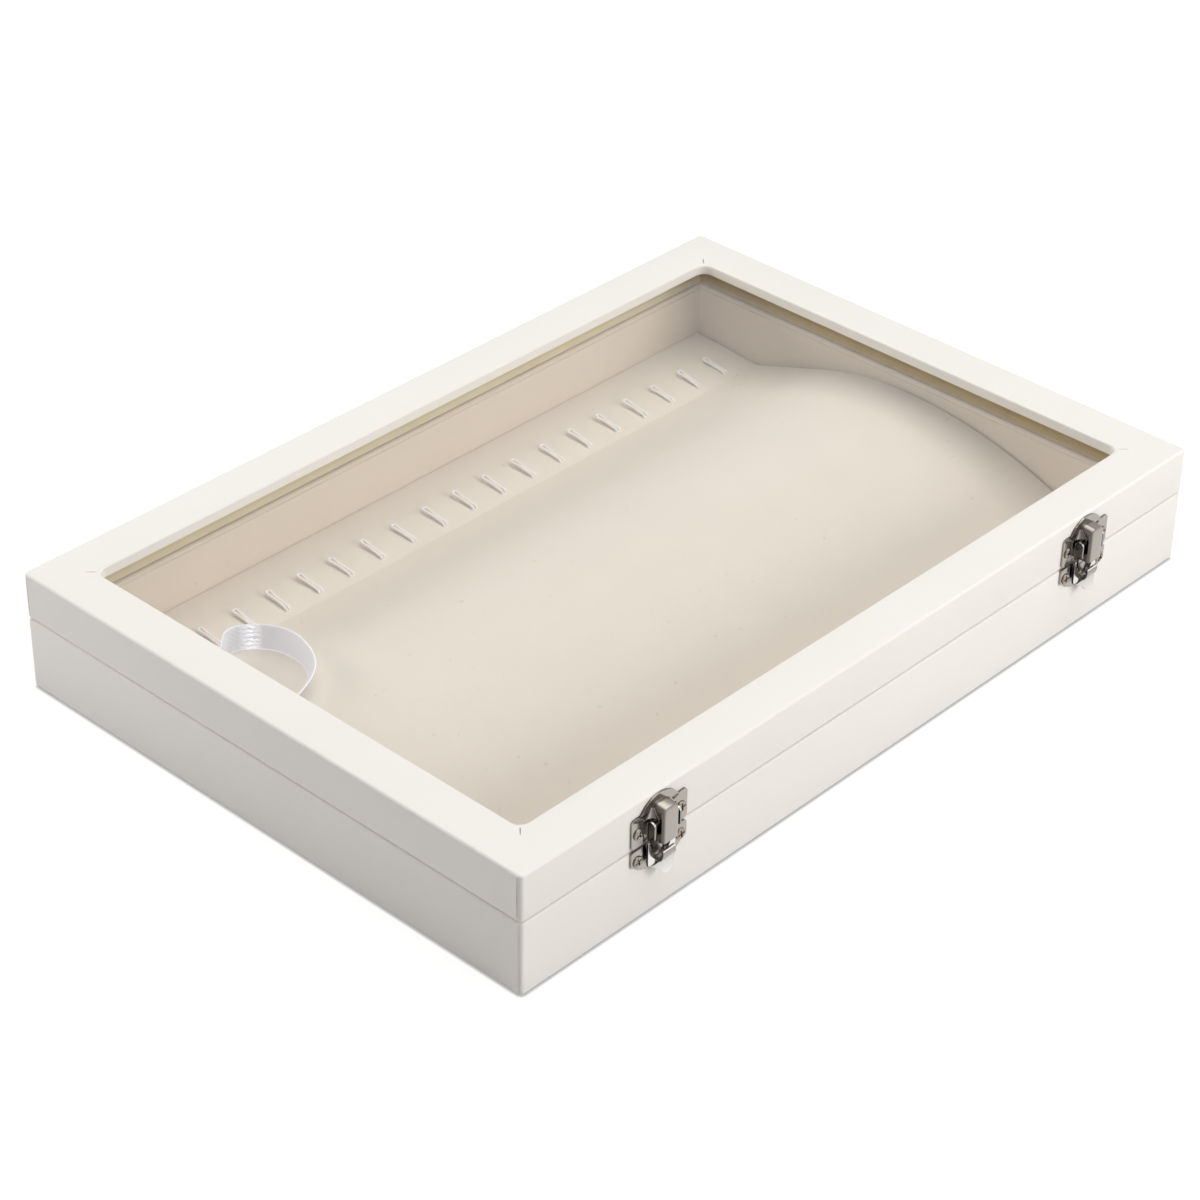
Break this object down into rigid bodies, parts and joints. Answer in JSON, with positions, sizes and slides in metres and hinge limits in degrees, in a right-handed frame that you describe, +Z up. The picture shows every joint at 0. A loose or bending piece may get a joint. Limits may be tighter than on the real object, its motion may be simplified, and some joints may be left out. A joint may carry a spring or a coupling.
{
  "type": "necklace organizer box",
  "caption": "Flat hinged display box with a glass-topped lid, a humped velvet pad with cord loops for chains, a lifting ribbon and sprung front latches.",
  "frame": {"origin": "centre of the underside, on the surface the box stands on", "axes": "+X along the front to the right, +Y from the latches to the hinges, +Z up"},
  "size_m": [0.35, 0.2495, 0.048],
  "materials": {
    "leatherette": "smooth matte, fine grain",
    "board": "raw fibreboard",
    "foot_sheet": "flat nonwoven felt",
    "liner_velvet": "short nap velvet",
    "pad_velvet": "short nap velvet",
    "foam": "open cell foam",
    "cord": "twisted cotton cord",
    "ribbon": "satin",
    "glass": "clear float glass",
    "strip_card": "covered card",
    "nickel": "bright nickel plate",
    "spring_steel": "plain wire"
  },
  "bodies": {
    "base": {"base_back_board": "board", "base_floor_board": "board", "base_front_board": "board", "base_leatherette": "leatherette", "base_left_board": "board", "base_right_board": "board", "base_underside": "foot_sheet", "hinge_base_leaf_left": "nickel", "hinge_base_leaf_right": "nickel", "hinge_base_screws": "nickel", "hinge_pin_left": "nickel", "hinge_pin_right": "nickel", "latch_base_plate_left": "nickel", "latch_base_plate_right": "nickel", "latch_base_screws": "nickel", "liner_back": "liner_velvet", "liner_front": "liner_velvet", "liner_left": "liner_velvet", "liner_right": "liner_velvet", "loop_cords": "cord", "pad_card": "board", "pad_foam": "foam", "pad_velvet": "pad_velvet", "ribbon_pull": "ribbon"},
    "lid": {"glass_pane": "glass", "glass_strip_back": "strip_card", "glass_strip_front": "strip_card", "glass_strip_left": "strip_card", "glass_strip_right": "strip_card", "hinge_lid_leaf_left": "nickel", "hinge_lid_leaf_right": "nickel", "hinge_lid_screws": "nickel", "latch_lid_plate_left": "nickel", "latch_lid_plate_right": "nickel", "latch_lid_screws": "nickel", "latch_pin_left": "nickel", "latch_pin_right": "nickel", "latch_spring_left": "spring_steel", "latch_spring_right": "spring_steel", "lid_back_board": "board", "lid_back_rail": "board", "lid_front_board": "board", "lid_front_rail": "board", "lid_leatherette": "leatherette", "lid_left_board": "board", "lid_left_rail": "board", "lid_right_board": "board", "lid_right_rail": "board"},
    "left_hasp": {"latch_hasp_left": "nickel"},
    "right_hasp": {"latch_hasp_right": "nickel"}
  },
  "joints": [
    {"name": "lid_hinge", "type": "hinge", "parent": "base", "child": "lid", "pos_m": [0, 0.1219, 0.0295], "axis": [-1, 0, 0], "range_deg": [0, 105]},
    {"name": "left_hasp_pivot", "type": "hinge", "parent": "lid", "child": "left_hasp", "pos_m": [-0.113, -0.1228, 0.0381], "axis": [-1, 0, 0], "range_deg": [0, 75], "stiffness_Nm_per_rad": 0.01, "springref_deg": -17.19},
    {"name": "right_hasp_pivot", "type": "hinge", "parent": "lid", "child": "right_hasp", "pos_m": [0.113, -0.1228, 0.0381], "axis": [-1, 0, 0], "range_deg": [0, 75], "stiffness_Nm_per_rad": 0.01, "springref_deg": -17.19}
  ]
}
